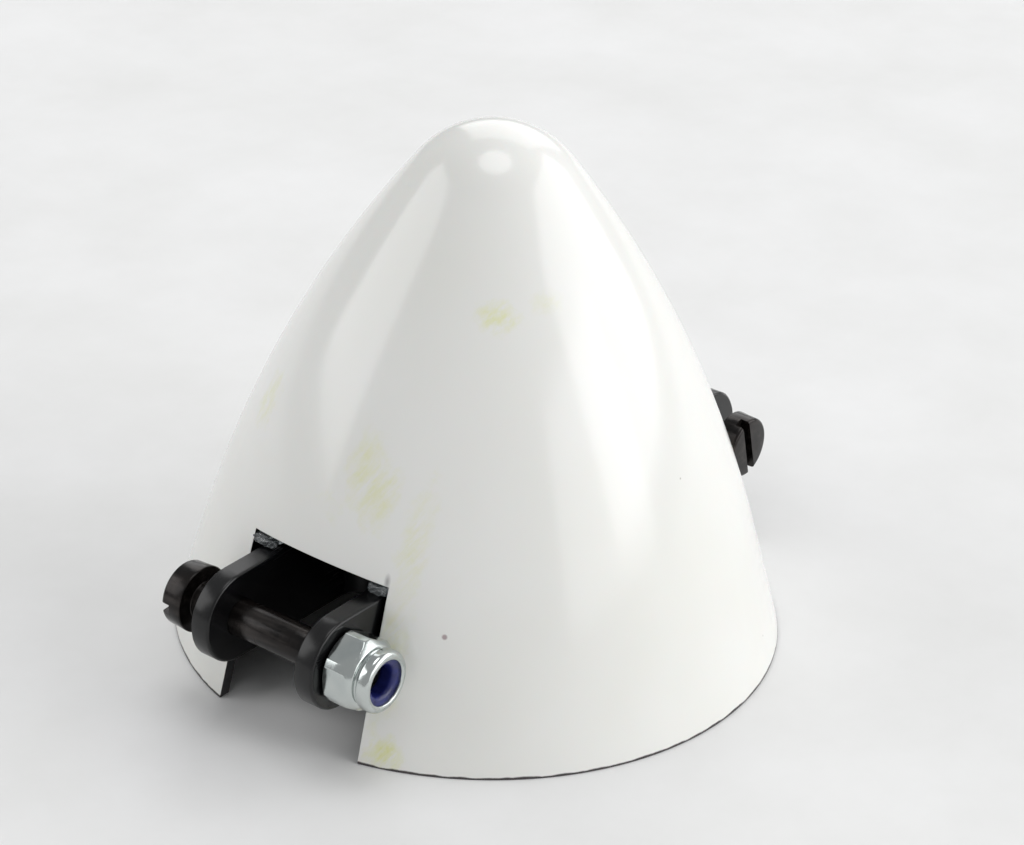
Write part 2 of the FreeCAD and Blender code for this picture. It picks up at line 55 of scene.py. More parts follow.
# %% [markdown]
# ## From grids of points to meshes
#
# Every new surface here is a grid of points worked out with numpy, in millimetres.
# Neighbouring points become four-sided faces.  Where two grids share an edge their
# points coincide, so one weld closes the solid.  Edges that turn sharply stay crisp and
# the rest are shaded as one smooth skin.

# %% Grids, welds and pieces
def quads(rows, columns, start=0):
    """Corner numbers of every cell of a grid that is stored row after row."""
    first = np.arange(rows - 1)[:, None] * columns + np.arange(columns - 1) + start
    cells = np.stack([first, first + 1, first + columns + 1, first + columns], axis=-1)
    return cells.reshape(-1, 4)


def piece(name, grids, materials, body, node, weld=0.002, crease=35.0):
    """Join grids of points into one closed mesh.  Each grid comes with the number of
    its material, and points closer than the weld, in millimetres, become one.  The
    piece stands for a CAD node and rides on that node's body."""
    points, cells, slots, start = [], [], [], 0
    for grid, number in grids:
        rows, columns = grid.shape[:2]
        points.append(grid.reshape(-1, 3))
        cells.append(quads(rows, columns, start))
        slots.append(np.full(len(cells[-1]), number))
        start += rows * columns
    mesh = bpy.data.meshes.new(name)
    mesh.from_pydata(np.concatenate(points) * MM, [], np.concatenate(cells))
    mesh.polygons.foreach_set("material_index", np.concatenate(slots).astype(np.int32))
    welded = bmesh.new()
    welded.from_mesh(mesh)
    bmesh.ops.remove_doubles(welded, verts=welded.verts, dist=weld * MM)
    bmesh.ops.recalc_face_normals(welded, faces=welded.faces)
    open_edges = sum(1 for edge in welded.edges if not edge.is_manifold)
    welded.to_mesh(mesh)
    welded.free()
    made = bpy.data.objects.new(name, mesh)
    bpy.context.collection.objects.link(made)
    smooth(made, crease)
    for material in materials:
        mesh.materials.append(material)
    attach(made, body)
    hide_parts(node)
    print(f"{name}: {len(mesh.polygons)} faces, {open_edges} open edges")
    return made


def smooth(made, crease):
    """Shade smooth, but keep edges that turn by more than the crease angle sharp."""
    made.data.shade_smooth()
    made.data.set_sharp_from_angle(angle=math.radians(crease))


def modify(made, kind, **settings):
    """Add a modifier with its settings."""
    modifier = made.modifiers.new(kind.title(), kind)
    for name, value in settings.items():
        setattr(modifier, name, value)


def box_of(name):
    """The two corners of a CAD node's box, in millimetres."""
    return [np.array(corner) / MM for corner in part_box(name)]


# %% [markdown]
# ## Materials: one helper
#
# A finish is a small network of nodes.  One function adds a node, sets its options and
# wires its inputs, so each recipe below reads from the pattern to the shader.  Colours
# are written as sRGB hex and turned linear once.  Patterns read Object coordinates,
# which are metres on the real part, so a scale of 1000 is one cell for each millimetre.

# %% Node and colour helpers
def srgb(code):
    """Linear colour of an sRGB hex code."""
    levels = [int(code[i:i + 2], 16) / 255 for i in (1, 3, 5)]
    return [v / 12.92 if v <= 0.04045 else ((v + 0.055) / 1.055) ** 2.4 for v in levels] + [1.0]


def node(tree, kind, inputs, out=0, **settings):
    """Add a node, set its options, and set or wire its inputs by name or number.
    Gives back the output asked for, ready to wire into the next node."""
    made = tree.nodes.new("ShaderNode" + kind)
    for name, value in settings.items():
        setattr(made, name, value)
    for key, value in inputs.items():
        socket = made.inputs[key]
        if isinstance(value, bpy.types.NodeSocket):
            tree.links.new(value, socket)
        else:
            socket.default_value = value
    return made.outputs[out] if made.outputs else made


def new_material(name):
    """An empty material, its tree and the Object coordinates of its surface."""
    made = bpy.data.materials.new(name)
    made.use_nodes = True
    made.node_tree.nodes.clear()
    return made, made.node_tree, node(made.node_tree, "TexCoord", {}, "Object")


# %% [markdown]
# ## White gelcoat
#
# The outside of the shell is gelcoat: pigmented resin brushed into a polished mould
# before the cloth goes in.  It is smooth and glossy with a faint long waviness, which
# bends reflections softly.  Handling has left pale yellow smears, a few specks of dust
# are cast in, and the lowest 0.2 mm above the rim is coloured dark, with a ragged edge.

# %% Smears
SMEARS = [
    # place on the shell, size along x, y, z (all mm), strength
    ((9.1, 7.4, 32.5), (1.6, 1.6, 1.0), 0.75), ((5.8, 9.6, 33.3), (1.2, 1.0, 0.9), 0.25),
    ((14.2, -10.6, 21.4), (1.6, 1.6, 2.4), 0.55), ((17.6, 2.1, 21.2), (2.0, 1.4, 3.4), 0.55),
    ((18.1, 3.6, 19.6), (2.0, 1.5, 3.0), 0.60), ((18.0, 7.4, 16.5), (2.2, 1.1, 7.0), 0.40),
    ((21.4, 7.6, 8.0), (2.4, 1.2, 7.0), 0.45), ((23.0, 8.8, 1.0), (1.8, 1.3, 1.6), 1.0),
    ((15.9, 0.2, 17.9), (3.0, 1.8, 2.2), 0.45),
]


def smear_amount(tree, place):
    """How strongly each smear shows: one at its centre, fading to its edge, and broken
    into strokes by a noise that is drawn out along a tilted line."""
    ragged = node(tree, "TexNoise", {"Vector": place, "Scale": 700.0, "Detail": 4.0,
                                     "Roughness": 0.65})
    uneven = node(tree, "MapRange", {"Value": ragged, "To Min": -1.0, "To Max": 1.0})
    amount = None
    for centre, reach, strength in SMEARS:
        away = node(tree, "VectorMath", {0: place, 1: [v * MM for v in centre]},
                    operation="SUBTRACT")
        scaled = node(tree, "VectorMath", {0: away, 1: [1 / (v * MM) for v in reach]},
                      operation="MULTIPLY")
        length = node(tree, "VectorMath", {0: scaled}, "Value", operation="LENGTH")
        edge = node(tree, "Math", {0: length, 1: uneven}, operation="ADD")
        mark = node(tree, "MapRange", {"Value": edge, "From Min": 1.25, "From Max": 0.15,
                                       "To Max": strength})
        if amount is not None:
            mark = node(tree, "Math", {0: amount, 1: mark}, operation="MAXIMUM")
        amount = mark
    tilted = node(tree, "Mapping", {"Vector": place, "Rotation": (0.5, 0.4, 0.6)})
    drawn = node(tree, "Mapping", {"Vector": tilted, "Scale": (1.0, 1.0, 0.22)})
    strokes = node(tree, "TexNoise", {"Vector": drawn, "Scale": 1500.0, "Detail": 5.0,
                                      "Roughness": 0.7})
    strokes = node(tree, "MapRange", {"Value": strokes, "From Min": 0.34, "From Max": 0.60})
    return node(tree, "Math", {0: amount, 1: strokes}, operation="MULTIPLY")


print(len(SMEARS), "smears")

# %% Gelcoat
CHIP = (18.9, 11.1, 10.6)       # middle of the chip, mm
SCUFF = (19.83, 6.22, 13.95)    # middle of the scuff, mm


def make_gelcoat():
    """White gelcoat: smears, a few specks, a dark band at the rim, and long low waves."""
    made, tree, place = new_material("gelcoat_white")
    cloudy = node(tree, "TexNoise", {"Vector": place, "Scale": 60.0})
    cloudy = node(tree, "MapRange", {"Value": cloudy, "From Min": 0.35, "From Max": 0.7})
    white = node(tree, "Mix", {0: cloudy, 6: srgb("#E9E9E6"), 7: srgb("#E5E5E0")}, 2,
                 data_type="RGBA")
    white = node(tree, "Mix", {0: smear_amount(tree, place), 6: white, 7: srgb("#DEDF9E")}, 2,
                 data_type="RGBA")
    # One cell in seven, about 4 mm across, has a speck of dust 0.15 mm wide in it.
    cell = node(tree, "TexVoronoi", {"Vector": place, "Scale": 260.0})
    rare = node(tree, "SeparateColor", {0: cell.node.outputs["Color"]})
    rare = node(tree, "Math", {0: rare, 1: 0.86}, operation="GREATER_THAN")
    speck = node(tree, "MapRange", {"Value": cell, "From Min": 0.030, "From Max": 0.018,
                                    "To Max": 0.5})
    speck = node(tree, "Math", {0: speck, 1: rare}, operation="MULTIPLY")
    white = node(tree, "Mix", {0: speck, 6: white, 7: srgb("#7A7468")}, 2, data_type="RGBA")
    # One chip in the flank has let the laminate's colour through.
    away = node(tree, "VectorMath", {0: place, 1: [v * MM for v in CHIP]}, "Value",
                operation="DISTANCE")
    chip = node(tree, "MapRange", {"Value": away, "From Min": 0.26 * MM, "From Max": 0.14 * MM,
                                   "To Max": 0.7})
    white = node(tree, "Mix", {0: chip, 6: white, 7: srgb("#8C6F74")}, 2, data_type="RGBA")
    # A short grey scuff runs up the flank from the front window's corner.
    away = node(tree, "VectorMath", {0: place, 1: [v * MM for v in SCUFF]},
                operation="SUBTRACT")
    away = node(tree, "VectorMath", {0: away, 1: (1.0, 1.0, 0.22)}, operation="MULTIPLY")
    away = node(tree, "VectorMath", {0: away}, "Value", operation="LENGTH")
    scuff = node(tree, "MapRange", {"Value": away, "From Min": 0.30 * MM,
                                    "From Max": 0.05 * MM, "To Max": 0.55})
    white = node(tree, "Mix", {0: scuff, 6: white, 7: srgb("#5E5A60")}, 2, data_type="RGBA")
    # The lowest 0.2 mm or so above the rim is coloured dark, with a ragged edge.
    ragged = node(tree, "TexNoise", {"Vector": place, "Scale": 700.0, "Detail": 4.0})
    ragged = node(tree, "MapRange", {"Value": ragged, "To Min": -0.12 * MM, "To Max": 0.12 * MM})
    height = node(tree, "SeparateXYZ", {0: place}, "Z")
    height = node(tree, "Math", {0: height, 1: ragged}, operation="ADD")
    rim = node(tree, "MapRange", {"Value": height, "From Min": 0.24 * MM, "From Max": 0.16 * MM})
    white = node(tree, "Mix", {0: rim, 6: white, 7: srgb("#3A3436")}, 2, data_type="RGBA")
    gloss = node(tree, "TexNoise", {"Vector": place, "Scale": 140.0, "Detail": 3.0})
    gloss = node(tree, "MapRange", {"Value": gloss, "To Min": 0.13, "To Max": 0.20})
    waves = node(tree, "TexNoise", {"Vector": place, "Scale": 90.0, "Detail": 1.0})
    waves = node(tree, "Bump", {"Height": waves, "Distance": 0.012 * MM})
    shader = node(tree, "BsdfPrincipled", {
        "Base Color": white, "Roughness": gloss, "IOR": 1.5, "Normal": waves,
        "Subsurface Weight": 0.05, "Subsurface Scale": 0.4 * MM,
        "Coat Weight": 0.3, "Coat Roughness": 0.13})
    node(tree, "OutputMaterial", {"Surface": shader})
    return made


gelcoat = make_gelcoat()
print("gelcoat:", len(gelcoat.node_tree.nodes), "nodes")

# %% [markdown]
# ## Black laminate
#
# Inside, the shell is woven fibre in black resin, a two-by-two twill of tows about
# 1.5 mm wide.  The weave follows the wall, so it is drawn on the angle round the axis
# and on the height.  It is dark, with a soft resin sheen where a tow lies on top.

# %% Laminate
TOW = 1.5                    # width of a tow, mm
MIDDLE = 20.0                # radius at which angles are measured out as lengths, mm


def make_laminate():
    """Twill weave: the warp is on top where the sum of both tow counts, over four, leaves
    nought or one."""
    made, tree, place = new_material("laminate_black")
    x = node(tree, "SeparateXYZ", {0: place}, "X")
    angle = node(tree, "Math", {0: x.node.outputs["Y"], 1: x}, operation="ARCTAN2")
    across = node(tree, "Math", {0: angle, 1: MIDDLE / TOW}, operation="MULTIPLY")
    along = node(tree, "Math", {0: x.node.outputs["Z"], 1: 1.0 / (TOW * MM)},
                 operation="MULTIPLY")
    tow_a = node(tree, "Math", {0: across}, operation="FLOOR")
    tow_b = node(tree, "Math", {0: along}, operation="FLOOR")
    both = node(tree, "Math", {0: tow_a, 1: tow_b}, operation="ADD")
    both = node(tree, "Math", {0: both, 1: 4.0}, operation="FLOORED_MODULO")
    warp = node(tree, "Math", {0: both, 1: 2.0}, operation="LESS_THAN")
    crown_a = node(tree, "Math", {0: across, 1: 0.5}, operation="PINGPONG")
    crown_b = node(tree, "Math", {0: along, 1: 0.5}, operation="PINGPONG")
    crown = node(tree, "Mix", {0: warp, 2: crown_a, 3: crown_b}, data_type="FLOAT")
    grain = node(tree, "TexNoise", {"Vector": place, "Scale": 900.0, "Detail": 3.0})
    dark = node(tree, "Mix", {0: warp, 6: srgb("#101011"), 7: srgb("#1A1A1C")}, 2,
                data_type="RGBA")
    dusty = node(tree, "MapRange", {"Value": grain, "From Min": 0.5, "From Max": 0.9,
                                    "To Max": 0.5})
    dark = node(tree, "Mix", {0: dusty, 6: dark, 7: srgb("#2A292B")}, 2, data_type="RGBA")
    gloss = node(tree, "MapRange", {"Value": grain, "From Min": 0.3, "From Max": 0.8,
                                    "To Min": 0.28, "To Max": 0.5})
    ridge = node(tree, "Bump", {"Height": crown, "Distance": 0.06 * MM})
    pores = node(tree, "Bump", {"Height": grain, "Distance": 0.02 * MM, "Normal": ridge})
    shader = node(tree, "BsdfPrincipled", {
        "Base Color": dark, "Roughness": gloss, "IOR": 1.55, "Normal": pores,
        "Coat Weight": 0.3, "Coat Roughness": 0.15})
    node(tree, "OutputMaterial", {"Surface": shader})
    return made


laminate = make_laminate()
print("laminate:", len(laminate.node_tree.nodes), "nodes")

# %% [markdown]
# ## The shell
#
# The shell is turned: its radius depends on height alone.  Near the rim the flank is a
# straight cone, then one long arc carries it to a round nose, and each joins the next
# without a corner.  The inner wall is the same curve moved in by the wall's thickness.
# Two windows let the arms out.  A window is cut square to the arm, so its sides keep
# their distance from the arm's middle and the angle of each side changes with height.

# %% The shell's radius
RIM = 25.0                   # radius at the rim, mm, as are all lengths below
NOSE = 43.3                  # height of the nose
LEAN = math.radians(16.3)    # the straight flank leans in by this
STRAIGHT = 8.9               # the flank is straight up to this height
TIP = 7.9                    # radius of the nose's ball
WALL = 1.0                   # thickness of the wall
SIDE = 7.0                   # each side of a window stands this far from its middle
SIDE_LEAN = 0.6              # and the nut's side leans in by this at the top
LINTEL = 13.5                # height of a window's upper corners
ARCH = 0.47                  # its top edge rises by this in the middle
shoulder = RIM - STRAIGHT * math.tan(LEAN)
drop = STRAIGHT - (NOSE - TIP)
belly = ((shoulder ** 2 + drop ** 2 - TIP ** 2)
         / (2 * (shoulder * math.cos(LEAN) + drop * math.sin(LEAN) - TIP)))
belly_r = shoulder - belly * math.cos(LEAN)
belly_z = STRAIGHT - belly * math.sin(LEAN)
meet = math.atan2(NOSE - TIP - belly_z, -belly_r)


def shell_radius(z, inset=0.0):
    """Radius at a height: cone, then long arc, then nose sphere, moved in by an inset."""
    z = np.asarray(z, float)
    cone = RIM - z * math.tan(LEAN) - inset / math.cos(LEAN)
    arc = belly_r + np.sqrt(np.maximum((belly - inset) ** 2 - (z - belly_z) ** 2, 0))
    ball = np.sqrt(np.maximum((TIP - inset) ** 2 - (z - NOSE + TIP) ** 2, 0))
    low = STRAIGHT - inset * math.sin(LEAN)
    high = belly_z + (belly - inset) * math.sin(meet)
    return np.where(z < low, cone, np.where(z < high, arc, ball))


print(f"belly radius {belly:.1f} mm, nose meets it at {belly_z + belly * math.sin(meet):.1f} mm")

# %% The shell's grids
def window_angles(z, inset):
    """Angles of the front window's two sides at a height: each is the arcsine of the
    side's distance from the window's middle over the radius."""
    radius = shell_radius(z, inset)
    nut = np.arcsin((SIDE - SIDE_LEAN * z / LINTEL) / radius)
    head = np.arcsin(SIDE / radius)
    return nut, head


def on_shell(angle, z, inset):
    """Points at angles and heights on the outer or inner wall."""
    radius = shell_radius(z, inset)
    return np.stack([radius * np.cos(angle), radius * np.sin(angle), z + 0 * angle], axis=-1)


# Rows and columns crowd a little at the windows' edges, where the wall turns a corner.
OVER = 26                    # faces across the top edge of a window
share = np.concatenate([[0, 0.004], np.linspace(0.02, 0.98, 120), [0.996, 1]])
low_rows = np.concatenate([[0, 0.25], np.linspace(0.8, LINTEL - 0.8, 24),
                           [LINTEL - 0.25, LINTEL]])
climb = np.concatenate([[0, 0.008], np.linspace(0.025, 1, 64)])


def wall_grids(inset):
    """One wall: two side panels up to the lintel, and the closed ring above them.
    The ring's foot rises over a window by one less the square of the way from its middle
    to its side, and its rows crowd towards the nose by the square of the way there."""
    z = low_rows[:, None] + 0 * share
    nut, head = window_angles(z, inset)
    panels = [on_shell(turn + nut + share * (math.pi - head - nut), z, inset)
              for turn in (0, math.pi)]
    nut, head = [float(side) for side in window_angles(LINTEL, inset)]
    panel = nut + share * (math.pi - head - nut)
    over = math.pi - head + np.linspace(0, 1, OVER + 1)[1:-1] * (head + nut)
    ring = np.concatenate([panel, over, panel + math.pi, over + math.pi, [nut + 2 * math.pi]])
    top = NOSE - inset
    side = np.sign(np.cos(ring))
    off = np.sin(ring) * shell_radius(LINTEL, inset) * side + SIDE_LEAN / 2
    foot = LINTEL + ARCH * np.clip(1 - (off / (SIDE - SIDE_LEAN / 2)) ** 2, 0, 1)
    z = top - (top - foot) * (1 - climb[:, None]) ** 2
    return panels + [on_shell(ring + 0 * z, z, inset)]


def bridge(outer, inner):
    """Surface between two matching edges, across the wall's thickness."""
    step = np.linspace(0, 1, 4)[:, None, None]
    return outer + step * (inner - outer)


print("each side panel:", len(low_rows), "rows of", len(share), "points")

# %% Join the two walls
# A wall is two side panels, numbers 0 and 1, and the ring, number 2.  Strips across the
# wall's thickness close the rim, the windows' sides and then their top edges.
outer, inner = wall_grids(0.0), wall_grids(WALL)
shell_grids = [(grid, 0) for grid in outer] + [(grid, 1) for grid in inner]
for number in (0, 1):
    shell_grids.append((bridge(outer[number][0], inner[number][0]), 1))
    for column in (0, -1):
        shell_grids.append((bridge(outer[number][:, column], inner[number][:, column]), 1))
for first in (len(share) - 1, 2 * len(share) + OVER - 2):
    top_edge = slice(first, first + OVER + 1)
    shell_grids.append((bridge(outer[2][0, top_edge], inner[2][0, top_edge]), 1))
shell = piece("shell", shell_grids, [gelcoat, laminate], "spinner", "spinner_shell")
modify(shell, "BEVEL", width=0.09 * MM, segments=2, limit_method="ANGLE",
       angle_limit=math.radians(50), harden_normals=True)

# %% [markdown]
# ## Black anodised aluminium
#
# The yoke is milled from bar and anodised black.  Anodising is a thin hard layer over
# bright metal: nearly black, a little glossy, with the mill's fine lines still in it.
# The tools' lines run along the arms, about a quarter of a millimetre apart.

# %% Anodised aluminium
def make_anodised():
    """Near-black, semi-gloss, with mill lines along the arms."""
    made, tree, place = new_material("anodised_black")
    drawn = node(tree, "Mapping", {"Vector": place, "Scale": (0.06, 1.0, 1.0)})
    lines = node(tree, "TexNoise", {"Vector": drawn, "Scale": 4200.0})
    cloudy = node(tree, "TexNoise", {"Vector": place, "Scale": 260.0, "Detail": 3.0})
    shade = node(tree, "MapRange", {"Value": cloudy, "From Min": 0.35, "From Max": 0.75})
    dark = node(tree, "Mix", {0: shade, 6: srgb("#070708"), 7: srgb("#0F0F11")}, 2,
                data_type="RGBA")
    both = node(tree, "Math", {0: lines, 1: cloudy}, operation="ADD")
    gloss = node(tree, "MapRange", {"Value": both, "From Min": 0.6, "From Max": 1.5,
                                    "To Min": 0.20, "To Max": 0.30})
    ripple = node(tree, "Bump", {"Height": cloudy, "Distance": 0.003 * MM})
    ripple = node(tree, "Bump", {"Height": lines, "Distance": 0.0008 * MM, "Normal": ripple})
    shader = node(tree, "BsdfPrincipled", {"Base Color": dark, "Roughness": gloss,
                                           "IOR": 1.45, "Normal": ripple})
    node(tree, "OutputMaterial", {"Surface": shader})
    return made


anodised = make_anodised()
print("anodised:", len(anodised.node_tree.nodes), "nodes")

# %% The yoke
def welded_copy(name, source):
    """A copy of a CAD node whose loose triangles are welded and flat faces made whole."""
    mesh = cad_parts[source].data.copy()
    mesh.name = name
    welded = bmesh.new()
    welded.from_mesh(mesh)
    bmesh.ops.remove_doubles(welded, verts=welded.verts, dist=0.0005 * MM)
    bmesh.ops.dissolve_limit(welded, angle_limit=math.radians(0.3),
                             verts=welded.verts, edges=welded.edges)
    welded.to_mesh(mesh)
    welded.free()
    mesh.materials.clear()
    made = bpy.data.objects.new(name, mesh)
    bpy.context.collection.objects.link(made)
    smooth(made, 50.0)
    return made


yoke = welded_copy("yoke_milled", "yoke")
yoke.data.materials.append(anodised)
modify(yoke, "WEIGHTED_NORMAL", weight=100, keep_sharp=True)
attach(yoke, "spinner")
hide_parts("yoke")
print("yoke_milled:", len(yoke.data.polygons), "faces")

# %% [markdown]
# ## Turned pieces and where they sit
#
# Screws, nuts and rings are turned about their own axis, so each is a profile of
# (radius, height) points carried round.  A hexagon is the same thing with the radius
# held inside six flats, and that is also how a real nut gets its scalloped corners: a
# cone cut over a hexagon.  Each piece is made upright, then laid along its pivot.

# %% Profiles and places
def arc(r, z, radius, start, end, count=7):
    """Points of a circular arc in a profile, by its centre, radius and two angles."""
    angle = np.radians(np.linspace(start, end, count))
    return [(r + radius * math.cos(a), z + radius * math.sin(a)) for a in angle]


def turned(profile, segments=96, flats=None):
    """Carry (radius, height) points round an axis.  Where a row has a width across
    flats, its radius is the smaller of the profile's and the hexagon's, which is half
    that width over the cosine of the angle from the middle of the nearest flat."""
    profile = np.asarray(profile, float)
    angle = np.linspace(0, 2 * math.pi, segments + 1)
    radius = profile[:, :1] + 0 * angle
    if flats is not None:
        sixth = (angle + math.pi / 6) % (math.pi / 3) - math.pi / 6
        radius = np.minimum(radius, np.asarray(flats)[:, None] / 2 / np.cos(sixth))
    height = profile[:, 1:] + 0 * angle
    return np.stack([radius * np.cos(angle), radius * np.sin(angle), height], axis=-1)


HEAD = 2.0                   # height of the screw's head

pivot = {}
for end, side in (("front", 1), ("rear", -1)):
    low, high = box_of(f"nylon_ring_{end}")
    nut, screw = box_of(f"lock_nut_{end}"), box_of(f"pivot_screw_{end}")
    start = 0 if side > 0 else 1
    pivot[end] = {"side": side, "x": (low[0] + high[0]) / 2, "z": (low[2] + high[2]) / 2,
                  "nut": nut[start][1], "head": screw[start][1] + side * HEAD}
    print(end, {key: round(float(value), 3) for key, value in pivot[end].items()})


def at_pivot(grid, end, base, turn=0.0):
    """Turn points about their own axis, lay that axis along Y and move them to a fork."""
    where = pivot[end]
    spin = math.radians(turn)
    x = grid[..., 0] * math.cos(spin) - grid[..., 1] * math.sin(spin)
    y = grid[..., 0] * math.sin(spin) + grid[..., 1] * math.cos(spin)
    side = where["side"]
    return np.stack([side * x + where["x"], side * grid[..., 2] + where[base],
                     where["z"] - y], axis=-1)


# %% [markdown]
# ## Black oxide screws
#
# The pivot screws are plain steel, blacked in a hot salt bath and oiled.  The film is
# brown-black and thin, so it shines dully on the turned shank and shows the lathe's
# rings on the head.  Pale streaks along the shank are painted highlights, standing in
# for the lamps' reflections there.

# %% Black oxide
def make_black_oxide():
    """Brown-black steel with rings from the lathe and painted highlight streaks."""
    made, tree, place = new_material("steel_black_oxide")
    drawn = node(tree, "Mapping", {"Vector": place, "Scale": (0.05, 1.0, 0.05)})
    rings = node(tree, "TexNoise", {"Vector": drawn, "Scale": 5000.0, "Detail": 1.0})
    cloudy = node(tree, "TexNoise", {"Vector": place, "Scale": 420.0, "Detail": 4.0})
    shade = node(tree, "MapRange", {"Value": cloudy, "From Min": 0.35, "From Max": 0.7})
    dark = node(tree, "Mix", {0: shade, 6: srgb("#100E0E"), 7: srgb("#241F1D")}, 2,
                data_type="RGBA")
    # The pale streaks are painted highlights; they run along the shank and are about 0.3 mm
    # wide.
    along = node(tree, "Mapping", {"Vector": place, "Scale": (1.0, 0.12, 1.0)})
    painted_streak_highlight = node(tree, "TexNoise", {"Vector": along, "Scale": 1700.0, "Detail": 3.0})
    painted_streak_highlight = node(tree, "MapRange", {"Value": painted_streak_highlight, "From Min": 0.48, "From Max": 0.72,
                                     "To Max": 0.4})
    dark = node(tree, "Mix", {0: painted_streak_highlight, 6: dark, 7: srgb("#55504D")}, 2, data_type="RGBA")
    both = node(tree, "Math", {0: rings, 1: cloudy}, operation="ADD")
    gloss = node(tree, "MapRange", {"Value": both, "From Min": 0.7, "From Max": 1.4,
                                    "To Min": 0.14, "To Max": 0.30})
    ripple = node(tree, "Bump", {"Height": rings, "Distance": 0.0015 * MM})
    shader = node(tree, "BsdfPrincipled", {"Base Color": dark, "Metallic": 0.6,
                                           "Roughness": gloss, "Normal": ripple})
    node(tree, "OutputMaterial", {"Surface": shader})
    return made


black_oxide = make_black_oxide()
print("black oxide:", len(black_oxide.node_tree.nodes), "nodes")

# %% [markdown]
# ### The pivot screw
#
# A slotted cheese head on an M3 shank, 16 mm long.  Only the last few millimetres are
# threaded, and the plain part is the blade's bearing.  A thread is a groove whose depth
# follows the height less the angle: one turn up is one pitch.  The slot is milled, so
# it is cut from the finished head with a block.

# %% Threads
PITCH, THREAD_DEPTH = 0.5, 0.28    # mm


def thread_grid(radius, low, high, segments=64):
    """A cylinder with a V groove: the groove's depth is a triangle wave of height over
    pitch less angle over a full turn, clipped to a flat crest and root.  It fades in
    over 0.3 mm at both ends."""
    angle = np.linspace(0, 2 * math.pi, segments + 1)
    height = np.linspace(low, high, int((high - low) / PITCH * 10) + 1)[:, None] + 0 * angle
    phase = (height / PITCH - angle / (2 * math.pi)) % 1.0
    wave = np.clip(1.4 * (1 - np.abs(2 * phase - 1)) - 0.2, 0, 1)
    fade = np.clip(np.minimum(height - low, high - height) / 0.3, 0, 1)
    r = radius - THREAD_DEPTH * wave * fade
    return np.stack([r * np.cos(angle), r * np.sin(angle), height], axis=-1)


print("thread:", PITCH, "mm pitch,", THREAD_DEPTH, "mm deep")

# %% Pivot screws
M3 = 1.5                     # radius of the shank, mm, as are all lengths below
HEAD_RADIUS = 2.75           # of the head at its underside
HEAD_TAPER = math.radians(3)
LENGTH = 16.0                # from under the head to the tip
THREADED = 12.5              # the thread starts this far under the head
SLOT_WIDTH, SLOT_DEPTH = 0.9, 0.85


def cut_slot(made, end, turn):
    """Mill the driver slot: a block taken off the head, longer and taller than it."""
    half, floor = SLOT_WIDTH / 2, SLOT_DEPTH - HEAD
    corners = np.array([[x, y, z] for x in (-4.0, 4.0) for y in (-half, half)
                        for z in (-3.0, floor)])
    corners = at_pivot(corners, end, "head", turn) * MM
    sides = [(0, 1, 3, 2), (4, 6, 7, 5), (0, 4, 5, 1), (2, 3, 7, 6), (0, 2, 6, 4), (1, 5, 7, 3)]
    mesh = bpy.data.meshes.new("cutter")
    mesh.from_pydata(corners, [], sides)
    cutter = bpy.data.objects.new("cutter", mesh)
    bpy.context.collection.objects.link(cutter)
    modify(made, "BOOLEAN", operation="DIFFERENCE", solver="EXACT", object=cutter)
    seen = made.evaluated_get(bpy.context.evaluated_depsgraph_get())
    result = bpy.data.meshes.new_from_object(seen)
    made.modifiers.clear()
    made.data = result
    bpy.data.objects.remove(cutter)
    smooth(made, 35.0)


def make_screw(end, turn):
    """Head with a rounded rim, plain shank, threaded end with a chamfered tip."""
    rim, chamfer = HEAD_RADIUS - HEAD * math.tan(HEAD_TAPER), LENGTH - 0.35
    profile = [(0, -HEAD), (1.2, -HEAD)] + arc(rim - 0.32, 0.32 - HEAD, 0.32, -90, -4, 8)
    profile += [(2.68, -0.9), (2.74, -0.12)] + arc(2.62, -0.12, 0.12, 0, 90, 4)
    profile += [(1.62, 0.0)] + arc(1.62, 0.12, 0.12, 270, 180, 4)
    profile += [(M3, 6.0), (M3, THREADED)]
    grids = [turned(profile, 64), thread_grid(M3, THREADED, chamfer),
             turned([(M3, chamfer), (1.15, LENGTH), (0, LENGTH)], 64)]
    grids = [(at_pivot(grid, end, "head", turn), 0) for grid in grids]
    made = piece(f"pivot_screw_{end}_blacked", grids, [black_oxide], f"pivot_{end}",
                 f"pivot_screw_{end}")
    cut_slot(made, end, turn)
    modify(made, "BEVEL", width=0.05 * MM, segments=2, limit_method="ANGLE",
           angle_limit=math.radians(50), harden_normals=True)


for end, turn in (("front", 5), ("rear", 74)):    # each slot as it was left, degrees
    make_screw(end, turn)

# %% [markdown]
# ## Zinc plate
#
# The lock nuts are bright zinc on steel.  New plate is almost a mirror with a faint blue
# tint, and tumbling with other nuts leaves small dents and dull patches.

# %% Zinc plate
def make_zinc():
    """Bright plated metal with tumbling marks."""
    made, tree, place = new_material("zinc_plate_bright")
    marks = node(tree, "TexNoise", {"Vector": place, "Scale": 900.0, "Detail": 4.0,
                                    "Roughness": 0.6})
    patches = node(tree, "TexNoise", {"Vector": place, "Scale": 330.0})
    shade = node(tree, "MapRange", {"Value": patches, "From Min": 0.3, "From Max": 0.7})
    pale = node(tree, "Mix", {0: shade, 6: srgb("#D0D4D1"), 7: srgb("#B9C0BF")}, 2,
                data_type="RGBA")
    dull = node(tree, "MapRange", {"Value": marks, "From Min": 0.62, "From Max": 0.8,
                                   "To Max": 0.45})
    pale = node(tree, "Mix", {0: dull, 6: pale, 7: srgb("#8E9090")}, 2, data_type="RGBA")
    gloss = node(tree, "MapRange", {"Value": marks, "From Min": 0.3, "From Max": 0.8,
                                    "To Min": 0.09, "To Max": 0.26})
    dents = node(tree, "Bump", {"Height": patches, "Distance": 0.012 * MM})
    dents = node(tree, "Bump", {"Height": marks, "Distance": 0.008 * MM, "Normal": dents})
    shader = node(tree, "BsdfPrincipled", {"Base Color": pale, "Metallic": 1.0,
                                           "Roughness": gloss, "Normal": dents})
    node(tree, "OutputMaterial", {"Surface": shader})
    return made


